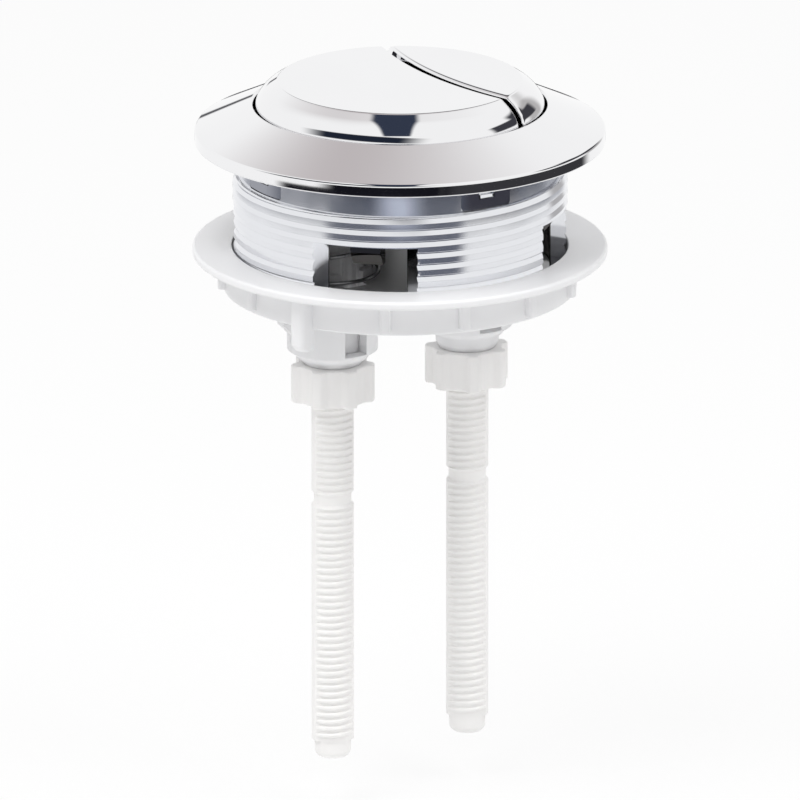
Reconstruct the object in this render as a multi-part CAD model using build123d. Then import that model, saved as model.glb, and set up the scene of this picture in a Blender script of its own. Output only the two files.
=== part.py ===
from build123d import *
from math import radians, tan
import os

# Round dual-flush push button actuator for a cistern lid, in millimetres.
# The origin is on the sleeve's axis, in the plane of the lid seat under the bezel, with +Z up.
# The full-flush button and its rod are on -X, the half-flush button and its rod on +X.

# Sleeve that goes through the lid
thread_diameter = 58.0
thread_step = 1.0
thread_pitch = 2.08
thread_length = 19.8
neck_length = 5.7
neck_wall = 1.4
sleeve_wall = 3.0
lip_width = 1.4
lip_thickness = 1.2
thread_lead_in = 0.8

# Windows in the sleeve, one for each button hook
window_count = 4
window_width = 18.6
window_flare = 45.0
window_depth = 11.1

# Bezel ring and the tongues that snap it to the sleeve's neck
rim_overhang = 6.6
rim_height = 2.2
rim_round = 0.9
rim_chamfer = 0.3
seat_width = 2.0
bezel_height = 6.9
bezel_wall = 1.6
bezel_edge_chamfer = 0.3
bezel_skirt_wall = 1.0
bezel_skirt_depth = 3.0
tongue_count = 4
tongue_width = 10.0
tongue_wall = 0.7
tongue_length = 5.2
tongue_corner = 0.6
catch_width = 3.4
catch_height = 1.2
catch_depth = 2.9

# Buttons
button_height = 10.9
button_bevel = 2.2
button_lip = 0.3
button_wall = 1.6
button_gap = 1.0
button_edge_round = 0.45
half_split_round = 0.8
split_margin = 1.45
split_radius = 69.0
press_travel = 6.0
hook_width = 5.3
hook_wall = 1.8
hook_reach = 2.2
hook_nose = 3.9
boss_wall = 1.7
rib_wall = 1.2
rib_depth = 3.5

# Plungers, springs and the plate that guides them
plunger_diameter = 11.0
plunger_nose = 1.1
plunger_nose_taper = 0.5
half_nose_extra = 1.35
plunger_flange_lip = 0.25
plunger_flange = 1.5
spigot_diameter = 8.0
spigot_length = 12.0
key_width = 3.8
key_height = 1.9
key_length = 2.0
keyway_overrun = 0.7
spring_length = 15.3
spring_wire = 0.7
spring_diameter = 16.0
spring_turns = 3.0
plate_thickness = 2.0
guide_length = 12.4
guide_band = 0.3
guide_chamfer = 1.2
guide_wall = 0.6
collar_diameter = 15.8
spring_stub = 2.0
spring_stub_wall = 1.2
gusset_wall = 2.0
gusset_width = 2.75
gusset_height = 7.9

# Rods and their lock nuts
rod_diameter = 7.35
rod_engagement = 20.0
rod_below_guide = 72.6
rod_tip_diameter = 6.3
rod_tip_length = 3.25
rod_tip_round = 1.3
rod_top_chamfer = 0.9
break_depth = 25.55
break_diameter = 6.5
break_width = 1.6
break_slope = 0.6
lock_nut_diameter = 14.8
lock_nut_height = 6.75
lobe_count = 7
lobe_width = 2.3
lobe_height = 1.3
full_lobe_turn = -93.4
half_lobe_turn = -113.4

# Flange nut that clamps the lid from below
lid_gap = 18.7
flange_overhang = 7.0
flange_thickness = 1.5
flange_chamfer = 0.4
nut_wall = 1.5
nut_skirt = 6.1
grip_count = 14
grip_width = 2.0
grip_height = 1.2
grip_turn = -152.8
lug_width = 2.8
lug_height = 3.0
lug_drop = 3.7
lug_chamfer = 1.2
lug_turn = -154.6

# Clearances
slide_clearance = 0.3
fit_clearance = 0.1
thread_clearance = 0.15
seat_gap = 0.05
wall_bite = 0.5

# Radii that follow from the thread, from the outside in
thread_r = thread_diameter / 2
neck_r = thread_r - thread_step
neck_inner_r = neck_r - neck_wall
sleeve_inner_r = thread_r - sleeve_wall
lip_r = sleeve_inner_r - lip_width
bezel_skirt_r = neck_inner_r - fit_clearance
hole_r = bezel_skirt_r - bezel_skirt_wall
button_r = hole_r - slide_clearance
rim_r = thread_r + rim_overhang

# Radii of the plungers, guides and rods
plunger_r = plunger_diameter / 2
guide_bore_r = plunger_r + fit_clearance
guide_r = guide_bore_r + guide_wall
collar_r = collar_diameter / 2
spigot_r = spigot_diameter / 2
plunger_flange_r = (spring_diameter + spring_wire) / 2 + plunger_flange_lip
boss_r = spigot_r + fit_clearance + boss_wall
rod_r = rod_diameter / 2
rod_bore_r = rod_r + thread_clearance

# The rods stand as far apart as the sleeve's lip lets their guides, and the buttons part beside a boss
rod_offset = lip_r - fit_clearance - gusset_width - collar_r
split_offset = rod_offset - boss_r - split_margin

# Heights, downwards from the lid seat
sleeve_bottom = -neck_length - thread_length
plate_bottom = sleeve_bottom + lip_thickness
plate_top = plate_bottom + plate_thickness
window_top = -window_depth
window_bottom = plate_top + fit_clearance
flange_bottom = plate_top + spring_length
flange_top = flange_bottom + plunger_flange
button_bottom = flange_top + press_travel + 2 * wall_bite
button_ceiling = button_height - button_wall
guide_bottom = plate_bottom - guide_length
collar_bottom = guide_bottom + guide_band
rod_bottom = guide_bottom - rod_below_guide
break_z = guide_bottom - break_depth
nut_top = -lid_gap
nut_underside = nut_top - flange_thickness
nut_bottom = nut_underside - nut_skirt
key_top = plate_bottom - key_length

# Where each rod stands, where its plunger ends, and how its lock nut and its button's hooks are turned
rod_x = {"full_flush": -rod_offset, "half_flush": rod_offset}
plunger_bottom = {
    "full_flush": guide_bottom - plunger_nose,
    "half_flush": guide_bottom - plunger_nose - half_nose_extra,
}
lobe_turn = {"full_flush": full_lobe_turn, "half_flush": half_lobe_turn}
hook_turns = {"full_flush": (135, -135), "half_flush": (45, -45)}

# Cone of the bezel's top face
bezel_slope = (bezel_height - rim_height) / (rim_r - hole_r)


def bezel_face_z(radius):
    return bezel_height - bezel_slope * (radius - hole_r)


def turned(*points):
    """Solid of revolution about Z from a closed outline of (radius, z) points."""
    outline = Polyline(*[(radius, 0, z) for radius, z in points], close=True)
    return revolve(make_face(outline), Axis.Z)


def tube(outer, inner, low, high):
    return turned((inner, low), (outer, low), (outer, high), (inner, high))


def rod(radius, low, high):
    return Pos(0, 0, low) * Cylinder(radius, high - low, align=(Align.CENTER, Align.CENTER, Align.MIN))


def block(inner, outer, width, low, high):
    """Block that runs outwards along +X from one radius to another."""
    place = Pos(inner, 0, low)
    return place * Box(outer - inner, width, high - low, align=(Align.MIN, Align.CENTER, Align.MIN))


def around(shape, count, start=0.0):
    return [Rot(0, 0, start + turn * 360 / count) * shape for turn in range(count)]


def circles_at(shape, radius, z):
    """Circular edges of a turned shape at one radius and height."""
    found = shape.edges().filter_by(GeomType.CIRCLE)
    return [edge for edge in found if abs(edge.radius - radius) < 1e-4 and abs(edge.arc_center.Z - z) < 1e-4]


def bezel_ring():
    """Dished chrome ring that covers the lid's hole, with four tongues round the sleeve's neck."""
    seat_r = rim_r - seat_width
    ring = turned(
        (hole_r, -bezel_skirt_depth),
        (bezel_skirt_r, -bezel_skirt_depth),
        (bezel_skirt_r, bezel_face_z(bezel_skirt_r) - bezel_wall),
        (seat_r, bezel_face_z(seat_r) - bezel_wall),
        (seat_r, 0),
        (rim_r, 0),
        (rim_r, rim_height),
        (hole_r, bezel_height),
    )
    ring = fillet(circles_at(ring, rim_r, rim_height), rim_round)
    ring = chamfer(circles_at(ring, rim_r, 0), rim_chamfer)
    ring = chamfer(circles_at(ring, hole_r, bezel_height), bezel_edge_chamfer)
    outer = neck_r
    inner = neck_r - tongue_wall
    root = bezel_face_z(outer) - bezel_wall / 2
    tongue = tube(outer, inner, -tongue_length, root) & tongue_plate(tongue_width, 0, root)
    tongue -= catch_block(inner - wall_bite, outer + wall_bite, 0)
    for one in around(tongue, tongue_count):
        ring += one
    return ring


def tongue_plate(width, grow, top):
    """Upright plate across +X with the tongue's rounded lower corners."""
    low = -tongue_length - grow
    middle = (low + top) / 2
    plate = extrude(Plane.YZ * Pos(0, middle) * Rectangle(width, top - low), amount=thread_diameter)
    corners = plate.edges().filter_by(Axis.X).group_by(Axis.Z)[0]
    return fillet(corners, tongue_corner)


def catch_block(inner, outer, grow):
    """Small catch in the middle of a tongue."""
    low = -catch_depth - catch_height / 2 + grow
    return block(inner, outer, catch_width - 2 * grow, low, low + catch_height - 2 * grow)


def threaded_sleeve():
    """Sleeve with a smooth neck, thread grooves, four hook windows and a lip for the plate."""
    neck_top = bezel_face_z(neck_r) - bezel_wall - fit_clearance
    step_z = -bezel_skirt_depth - fit_clearance
    first_crest = -neck_length - thread_step
    groove_count = int((thread_length - thread_step - thread_lead_in) // thread_pitch)
    thread = []
    for groove in range(groove_count):
        crest_z = first_crest - groove * thread_pitch
        thread += [(thread_r, crest_z), (neck_r, crest_z - thread_pitch / 2)]
    thread.append((thread_r, first_crest - groove_count * thread_pitch))
    sleeve = turned(
        (neck_inner_r, neck_top),
        (neck_inner_r, step_z),
        (sleeve_inner_r, step_z),
        (sleeve_inner_r, plate_bottom),
        (lip_r, plate_bottom),
        (lip_r, sleeve_bottom),
        (thread_r - thread_lead_in, sleeve_bottom),
        (thread_r, sleeve_bottom + thread_lead_in),
        *reversed(thread),
        (neck_r, -neck_length),
        (neck_r, neck_top),
    )
    for one in around(window_cut(), window_count, 180 / window_count):
        sleeve -= one
    pocket_r = neck_r - tongue_wall - fit_clearance
    pocket = tube(thread_r, pocket_r, -thread_length, neck_top + wall_bite)
    pocket &= tongue_plate(tongue_width + 2 * fit_clearance, fit_clearance, neck_top + wall_bite)
    nub = catch_block(pocket_r - wall_bite, neck_r, fit_clearance)
    for cut, catch in zip(around(pocket, tongue_count), around(nub, tongue_count)):
        sleeve = sleeve - cut + catch
    return sleeve


def window_cut():
    """Window with sides that flare outwards, along +X."""
    half = window_width / 2
    mouth = (thread_r**2 - half**2) ** 0.5
    inner = sleeve_inner_r - sleeve_wall
    outer = thread_r + sleeve_wall
    flare = tan(radians(window_flare))
    inner_half = half - (mouth - inner) * flare
    outer_half = half + (outer - mouth) * flare
    sketch = Polyline(
        (inner, inner_half),
        (outer, outer_half),
        (outer, -outer_half),
        (inner, -inner_half),
        close=True,
    )
    return extrude(Plane.XY.offset(window_bottom) * make_face(sketch), amount=window_top - window_bottom)


def split_disc(grow):
    """Tall disc whose edge is the curved parting between the two buttons."""
    height = 4 * button_height
    place = Pos(split_offset + split_radius, 0, 0)
    return place * Cylinder(split_radius + grow, height)


def button_blank(inset):
    """Round bevelled button, before it is parted, drawn in by a wall's thickness."""
    top_r = button_r - button_bevel
    bevel_z = bezel_height + button_lip
    return turned(
        (0, button_bottom),
        (button_r - inset, button_bottom),
        (button_r - inset, bevel_z - inset / 2),
        (top_r - inset / 2, button_height - inset),
        (0, button_height - inset),
    )


def rounded_top(button, split_round):
    """Rounds the top face's rim, its parting edge and the two corners between them."""
    top = button.faces().sort_by(Axis.Z)[-1]
    parting = top.edges().sort_by(lambda edge: edge.radius)[-1]
    button = fillet(parting, split_round)
    top = button.faces().sort_by(Axis.Z)[-1]
    rim = top.edges().sort_by(lambda edge: edge.radius)[0]
    return fillet(rim, button_edge_round)


def hook(turn):
    """Leg that hangs from the button's wall, with a wedge nose that catches in a window."""
    top = window_top - fit_clearance
    bottom = top - hook_nose
    leg_top = button_bottom + button_wall
    leg = tube(button_r, button_r - hook_wall, bottom, leg_top) & block(0, thread_r, hook_width, bottom, leg_top)
    nose = Polyline(
        (button_r - hook_wall, 0, bottom),
        (button_r, 0, bottom),
        (button_r + hook_reach, 0, top - hook_nose / 3),
        (button_r + hook_reach, 0, top),
        (button_r - hook_wall, 0, top),
        close=True,
    )
    nose = extrude(make_face(nose), amount=hook_width / 2, both=True)
    nose -= rod(button_r - hook_wall, bottom - wall_bite, top + wall_bite)
    return Rot(0, 0, turn) * (leg + nose)


def flush_button(side):
    """Hollow chrome button with a boss for its plunger, stiffening ribs and two hooks."""
    if side == "half_flush":
        shell = rounded_top(button_blank(0) & split_disc(-button_gap / 2), half_split_round)
        hollow = button_blank(button_wall) & split_disc(-button_gap / 2 - button_wall)
    else:
        shell = rounded_top(button_blank(0) - split_disc(button_gap / 2), button_edge_round)
        hollow = button_blank(button_wall) - split_disc(button_gap / 2 + button_wall)
    place = Pos(rod_x[side], 0, 0)
    button = shell - hollow
    rib_low = button_ceiling - rib_depth
    for length, width in ((thread_diameter, rib_wall), (rib_wall, thread_diameter)):
        rib = Pos(0, 0, rib_low) * Box(length, width, rib_depth, align=(Align.CENTER, Align.CENTER, Align.MIN))
        button += place * rib & hollow
    button += place * rod(boss_r, flange_top, button_ceiling + button_wall / 2)
    bore_top = flange_top + spigot_length + fit_clearance
    button -= place * rod(spigot_r + fit_clearance, flange_top - wall_bite, bore_top)
    for turn in hook_turns[side]:
        button += hook(turn)
    return button


def plunger(side):
    """White tube that carries the rod, with a flange for the spring and two guide keys."""
    bottom = plunger_bottom[side]
    body = turned(
        (0, flange_top + spigot_length),
        (spigot_r, flange_top + spigot_length),
        (spigot_r, flange_top),
        (plunger_flange_r, flange_top),
        (plunger_flange_r, flange_bottom),
        (plunger_r, flange_bottom),
        (plunger_r, bottom + plunger_nose),
        (plunger_r - plunger_nose_taper, bottom),
        (0, bottom),
    )
    key = block(plunger_r - wall_bite, plunger_r + key_height, key_width, key_top - key_length, key_top)
    for one in around(key, 2, 90):
        body += one
    body -= rod(rod_bore_r, bottom - wall_bite, bottom + rod_engagement + wall_bite)
    return Pos(rod_x[side], 0, 0) * body


def guide_plate():
    """White plate on the sleeve's lip, with a guide tube and a spring stub for each plunger."""
    plate = rod(sleeve_inner_r - fit_clearance, plate_bottom, plate_top)
    for side, x in rod_x.items():
        outward = 0 if x > 0 else 180
        plate += Pos(x, 0, 0) * Rot(0, 0, outward) * guide_solid()
    keyway = key_width + 2 * slide_clearance
    slot_low = key_top - key_length - press_travel - keyway_overrun
    for x in rod_x.values():
        plate -= Pos(x, 0, 0) * rod(guide_bore_r, guide_bottom - wall_bite, plate_top + spring_stub + wall_bite)
        slot = block(0, collar_r + wall_bite, keyway, slot_low, plate_bottom)
        entry = block(0, plunger_r + key_height + slide_clearance, keyway, plate_bottom - wall_bite, 0)
        for one in around(slot + entry, 2, 90):
            plate -= Pos(x, 0, 0) * one
    return plate


def guide_solid():
    """Stepped guide tube below the plate, its spring stub above and a gusset on its outer side."""
    stub_r = guide_bore_r + spring_stub_wall
    solid = turned(
        (0, guide_bottom),
        (guide_r, guide_bottom),
        (guide_r, collar_bottom),
        (collar_r, collar_bottom + guide_chamfer),
        (collar_r, plate_bottom),
        (stub_r, plate_bottom),
        (stub_r, plate_top + spring_stub),
        (0, plate_top + spring_stub),
    )
    reach = collar_r + gusset_width
    web = Polyline(
        (0, 0, plate_bottom),
        (reach, 0, plate_bottom),
        (reach, 0, plate_bottom - gusset_height + gusset_width),
        (collar_r, 0, plate_bottom - gusset_height),
        (0, 0, plate_bottom - gusset_height),
        close=True,
    )
    return solid + extrude(make_face(web), amount=gusset_wall / 2, both=True)


def coil_spring(side):
    """Return spring between the plate and the plunger's flange."""
    rise = spring_length - spring_wire - 2 * seat_gap
    path = Helix(rise / spring_turns, rise, spring_diameter / 2)
    section = Plane(path @ 0, z_dir=path % 0) * RegularPolygon(spring_wire / 2, 6)
    coil = sweep(section, path=path, is_frenet=True)
    return Pos(rod_x[side], 0, plate_top + spring_wire / 2 + seat_gap) * coil


def threaded_rod(side):
    """Threaded rod with a snap-off groove and a smooth round tip."""
    rod_top = plunger_bottom[side] + rod_engagement
    half = break_width / 2
    break_r = break_diameter / 2
    tip_r = rod_tip_diameter / 2
    tip_top = rod_bottom + rod_tip_length
    body = turned(
        (0, rod_top),
        (tip_r, rod_top),
        (rod_r, rod_top - rod_top_chamfer),
        (rod_r, break_z + half + break_slope),
        (break_r, break_z + half),
        (break_r, break_z - half),
        (rod_r, break_z - half - break_slope),
        (rod_r, tip_top),
        (tip_r, tip_top),
        (tip_r, rod_bottom),
        (0, rod_bottom),
    )
    body = fillet(circles_at(body, tip_r, rod_bottom), rod_tip_round)
    return Pos(rod_x[side], 0, 0) * body


def lock_nut(side):
    """Seven-lobed nut that jams the rod against its plunger."""
    top = plunger_bottom[side] - seat_gap
    bottom = top - lock_nut_height
    outer_r = lock_nut_diameter / 2
    tip_r = lobe_width / 2
    outline = Circle(outer_r - lobe_height)
    lobe = Pos((outer_r - tip_r) / 2, 0) * Rectangle(outer_r - tip_r, lobe_width)
    lobe += Pos(outer_r - tip_r, 0) * Circle(tip_r)
    for one in around(lobe, lobe_count, lobe_turn[side]):
        outline += one
    nut = extrude(Plane.XY.offset(bottom) * outline, amount=lock_nut_height)
    nut -= rod(rod_bore_r, bottom - wall_bite, top + wall_bite)
    return Pos(rod_x[side], 0, 0) * nut


def flange_nut():
    """Wide nut with a grip skirt and two lugs, which clamps the lid against the bezel."""
    bore_r = thread_r + thread_clearance
    skirt_r = bore_r + nut_wall
    flange_r = thread_r + flange_overhang
    nut = turned(
        (bore_r, nut_bottom),
        (skirt_r, nut_bottom),
        (skirt_r, nut_underside),
        (flange_r, nut_underside),
        (flange_r, nut_top),
        (bore_r, nut_top),
    )
    nut = chamfer(circles_at(nut, flange_r, nut_top) + circles_at(nut, flange_r, nut_underside), flange_chamfer)
    root_r = bore_r + nut_wall / 2
    grip = block(root_r, skirt_r + grip_height, grip_width, nut_bottom, nut_underside + flange_thickness / 2)
    lug_bottom = nut_bottom - lug_drop
    lug = block(root_r, skirt_r + lug_height, lug_width, lug_bottom, nut_underside + flange_thickness / 2)
    lug = chamfer(lug.edges().filter_by(Axis.Y).group_by(Axis.Z)[0].sort_by(Axis.X)[-1], lug_chamfer)
    for index, one in enumerate(around(grip, grip_count, grip_turn)):
        if index % (grip_count // 2):
            nut += one
    for one in around(lug, 2, lug_turn):
        nut += one
    return nut


def main():
    os.makedirs("parts", exist_ok=True)
    pieces = {
        "bezel_ring": bezel_ring(),
        "threaded_sleeve": threaded_sleeve(),
        "guide_plate": guide_plate(),
        "flange_nut": flange_nut(),
    }
    for side in rod_x:
        pieces[f"{side}_button"] = flush_button(side)
        pieces[f"{side}_plunger"] = plunger(side)
        pieces[f"{side}_spring"] = coil_spring(side)
        pieces[f"{side}_rod"] = threaded_rod(side)
        pieces[f"{side}_lock_nut"] = lock_nut(side)
    for name, shape in pieces.items():
        export_step(shape, f"parts/{name}.step")


main()
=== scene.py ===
import math

import bmesh
import bpy
from mathutils import Matrix, Vector


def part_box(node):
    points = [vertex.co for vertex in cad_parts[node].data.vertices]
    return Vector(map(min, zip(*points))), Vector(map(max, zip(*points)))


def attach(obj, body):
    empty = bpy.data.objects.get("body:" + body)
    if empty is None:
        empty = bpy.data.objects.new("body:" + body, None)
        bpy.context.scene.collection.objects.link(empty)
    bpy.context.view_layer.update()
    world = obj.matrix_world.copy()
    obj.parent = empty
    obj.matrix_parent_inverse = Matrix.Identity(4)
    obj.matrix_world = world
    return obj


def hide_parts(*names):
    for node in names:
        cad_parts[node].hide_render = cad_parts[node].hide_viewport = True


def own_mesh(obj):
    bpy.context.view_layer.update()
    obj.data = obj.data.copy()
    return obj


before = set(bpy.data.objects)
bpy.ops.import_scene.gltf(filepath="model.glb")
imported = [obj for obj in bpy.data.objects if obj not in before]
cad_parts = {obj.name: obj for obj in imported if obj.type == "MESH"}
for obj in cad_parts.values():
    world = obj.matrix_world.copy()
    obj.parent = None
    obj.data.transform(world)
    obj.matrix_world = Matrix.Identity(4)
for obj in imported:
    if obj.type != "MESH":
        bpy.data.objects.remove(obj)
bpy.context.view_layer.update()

# Lengths are in millimetres, angles in degrees, and run-outs in shares of a thread's length.
# Meshes are built in millimetres and scaled once.
MM = 0.001

# The camera, fitted to the photograph
VIEW_AZIMUTH = -32.4
VIEW_ELEVATION = 16.8
CAMERA_DISTANCE = 6000.0
PIXELS_PER_MM = 5.76
PICTURE_SIZE = 800
SEAT_CENTRE_ROW = 140.7
SENSOR_WIDTH = 36.0
CAMERA_CLIP = 20000.0

# Studio light and floor
FILL_STRENGTH = 0.52
LAMP_DISTANCE = 900.0
LAMP_SIZE = 600.0
FLOOR_Z = -118.0
FLOOR_REACH = 4000.0
FLOOR_GLOW = 0.85

# Reflected cards and bands stand this far out, and the bands bow down to the sides as mirrored lines do
FAR_DISTANCE = 600.0
NEAR_DISTANCE = 70.0
BAND_DISTANCE = 150.0
BAND_SAG = 8.8
BAND_BOW = 0.546
RIM_BAND = (-35.2, -19.0)
NECK_BAND = (-42.6, -36.2)

# Painted shade inside the sleeve: the dark colour given to the chrome there, and the width over which it
# changes
INSIDE_SHADE_COLOUR = (0.13, 0.125, 0.12)
INSIDE_SHADE_EDGE = 0.1

# Weight of large faces in the smoothed normals, where 50 is neutral
NORMAL_WEIGHT = 60


def span(node):
    """Lowest and highest corners of a CAD node, in millimetres."""
    low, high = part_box(node)
    return low / MM, high / MM


def middle_x(node):
    """Middle of a CAD node across X, in millimetres."""
    low, high = span(node)
    return (low.x + high.x) / 2


# Sizes read from the frame
sleeve_low, sleeve_high = span("threaded_sleeve")
nut_low, nut_high = span("flange_nut")
button_high = span("full_flush_button")[1]
rim_r = span("bezel_ring")[1].x
thread_r = sleeve_high.x
sleeve_bottom = sleeve_low.z
neck_top = sleeve_high.z
flange_r = nut_high.y
nut_top = nut_high.z
lug_bottom = nut_low.z
button_r = button_high.y
button_top = button_high.z

# Bezel ring
HOLE_GAP = 0.3
BEZEL_HEIGHT = 6.9
RIM_HEIGHT = 2.2
RIM_ROUND = 0.6
BEZEL_WALL = 1.6
BEZEL_EDGE = 0.35
SKIRT_WALL = 1.0
SKIRT_DEPTH = 3.0
SEAT_WIDTH = 2.0
TONGUE_TURNS = (0, 90, 180, 270)
TONGUE_WIDTH = 10.0
TONGUE_WALL = 0.7
TONGUE_LENGTH = 5.2
TONGUE_CORNER = 0.6
TONGUE_GAP = 0.22
CATCH_WIDTH = 3.4
CATCH_HEIGHT = 1.2
CATCH_DEPTH = 2.9
FIT = 0.1

# Threaded sleeve
NECK_STEP = 1.0
NECK_LENGTH = 5.7
THREAD_DEPTH = 0.33
THREAD_PITCH = 2.08
THREAD_TURNS = 9.0
THREAD_START = 57.6
THREAD_LOW = -24.53
THREAD_ROOT = 2.04
THREAD_CREST = 1.0
THREAD_LEAN = -0.38
THREAD_ROUND = 0.08
THREAD_BITE = 0.05
THREAD_RUN_OUT = 0.02
THREAD_STEPS = 192
NUB_HEIGHT = 0.5
NUB_MARGIN = 0.5
NUB_LEAN = 0.13
NECK_WALL = 1.4
SLEEVE_WALL = 3.0
LIP_WIDTH = 1.4
LIP_HEIGHT = 1.2
WINDOW_TURNS = (45, 135, 225, 315)
WINDOW_WIDTH = 18.6
WINDOW_TOP = -11.1
WINDOW_BOTTOM = -22.2

# Buttons
BUTTON_BEVEL = 4.0
BEVEL_KNEE = 1.7
BEVEL_KNEE_DROP = 1.55
BUTTON_SHOULDER = 7.2
SHOULDER_ROUND = 4.4
KNEE_ROUND = 7.0
BUTTON_EDGE = 0.9
BUTTON_WALL = 1.6
BUTTON_GAP = 1.3
PARTING_EDGE = {"full_flush": (0.35, 0.35), "half_flush": (1.0, 0.42)}
PARTING_CORNER = 0.7
SPLIT_OFFSET = 6.6
SPLIT_RADIUS = 69.0
BUTTON_SKIRT = 1.5
RIB_WALL = 1.2
RIB_DEPTH = 3.5
BOSS_R = 5.8
BOSS_BORE = 4.1
BOSS_LOW = -5.5
HOOK_WIDTH = 5.3
HOOK_WALL = 1.8
HOOK_REACH = 2.2
HOOK_NOSE = 3.9
HOOK_TURNS = {"full_flush": (135, 225), "half_flush": (45, -45)}

# Flange nut
NUT_BORE_GAP = 0.15
NUT_WALL = 1.5
NUT_BOTTOM = -26.3
FLANGE_THICKNESS = 1.5
RIB_COUNT = 14
RIB_WIDTH = 2.0
RIB_HEIGHT = 1.2
RIB_FOOT = 0.9
RIB_ROUND = 0.6
RIB_TURN = -152.8
LUG_TURN = -154.6
LUG_WIDTH = 2.8
LUG_HEIGHT = 3.0
LUG_CHAMFER = 1.2

# Rods, lock nuts and springs
ROD_PITCH = 1.25
ROD_DEPTH = 0.4
ROD_ROOT = 1.0
ROD_CREST = 0.42
ROD_ROUND = 0.12
ROD_BITE = 0.2
ROD_RUN_OUT = 0.004
ROD_STEPS = 56
ROD_THREAD_LIFT = 0.52
ROD_TURNS_SHORT = 0.9
ROD_STRIP = 52.0
ROD_STRIP_FLANK = 12.0
ROD_STRIP_TIP = 0.4
ROD_STRIP_SHORT = 0.5
ROD_STRIP_TURN = {"full_flush": -20.9, "half_flush": -32.4}
ROD_TIP_R = 3.15
ROD_TIP_LENGTH = 3.25
ROD_TIP_ROUND = 1.3
BREAK_Z = -62.25
BREAK_R = 3.25
BREAK_WIDTH = 1.6
BREAK_SLOPE = 0.6
LOBE_COUNT = 7
LOBE_TURN = {"full_flush": -93.4, "half_flush": -113.4}
LOBE_HEIGHT = 1.3
LOBE_FLANK = 10.5
LOBE_CROWN = 0.12
NUT_EDGE = 0.35
BORE_R = 3.825
WIRE = 0.7
SPRING_TURNS = 4.0
DEAD_TURNS = 0.9


# Node trees

def place(tree, kind, values, **settings):
    """Adds a node; each value is a number, or a node or socket to link from."""
    node = tree.nodes.new(kind)
    for key, value in settings.items():
        setattr(node, key, value)
    for key, value in values.items():
        if isinstance(value, bpy.types.Node):
            value = value.outputs[0]
        if isinstance(value, bpy.types.NodeSocket):
            tree.links.new(value, node.inputs[key])
        else:
            node.inputs[key].default_value = value
    return node


def calculate(tree, operation, *values):
    return place(tree, "ShaderNodeMath", dict(enumerate(values)), operation=operation)


def shape_tree(name, sizes):
    """Geometry node tree with a number input for each size; returns the tree and its inputs."""
    tree = bpy.data.node_groups.new(name, "GeometryNodeTree")
    for label, kind in sizes.items():
        tree.interface.new_socket(label, in_out="INPUT", socket_type=f"NodeSocket{kind}")
    tree.interface.new_socket("Geometry", in_out="OUTPUT", socket_type="NodeSocketGeometry")
    return tree, tree.nodes.new("NodeGroupInput").outputs


def close_tree(tree, shape, material):
    """Ends a tree in real geometry with its material."""
    real = place(tree, "GeometryNodeRealizeInstances", {0: shape})
    painted = place(tree, "GeometryNodeSetMaterial", {"Geometry": real, "Material": material})
    place(tree, "NodeGroupOutput", {0: painted})
    return tree


def grown(tree, values):
    """Mesh that a tree makes from its inputs."""
    holder = bpy.data.objects.new(tree.name, bpy.data.meshes.new(tree.name))
    bpy.context.collection.objects.link(holder)
    modifier = holder.modifiers.new(tree.name, "NODES")
    modifier.node_group = tree
    for item in tree.interface.items_tree:
        if item.in_out == "INPUT":
            modifier[item.identifier] = values[item.name]
    return settled_mesh(holder)


def settled_mesh(holder):
    """Plain mesh of an object with its modifiers applied; the object is removed."""
    bpy.context.view_layer.update()
    evaluated = holder.evaluated_get(bpy.context.evaluated_depsgraph_get())
    mesh = bpy.data.meshes.new_from_object(evaluated)
    bpy.data.objects.remove(holder)
    return mesh


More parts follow.
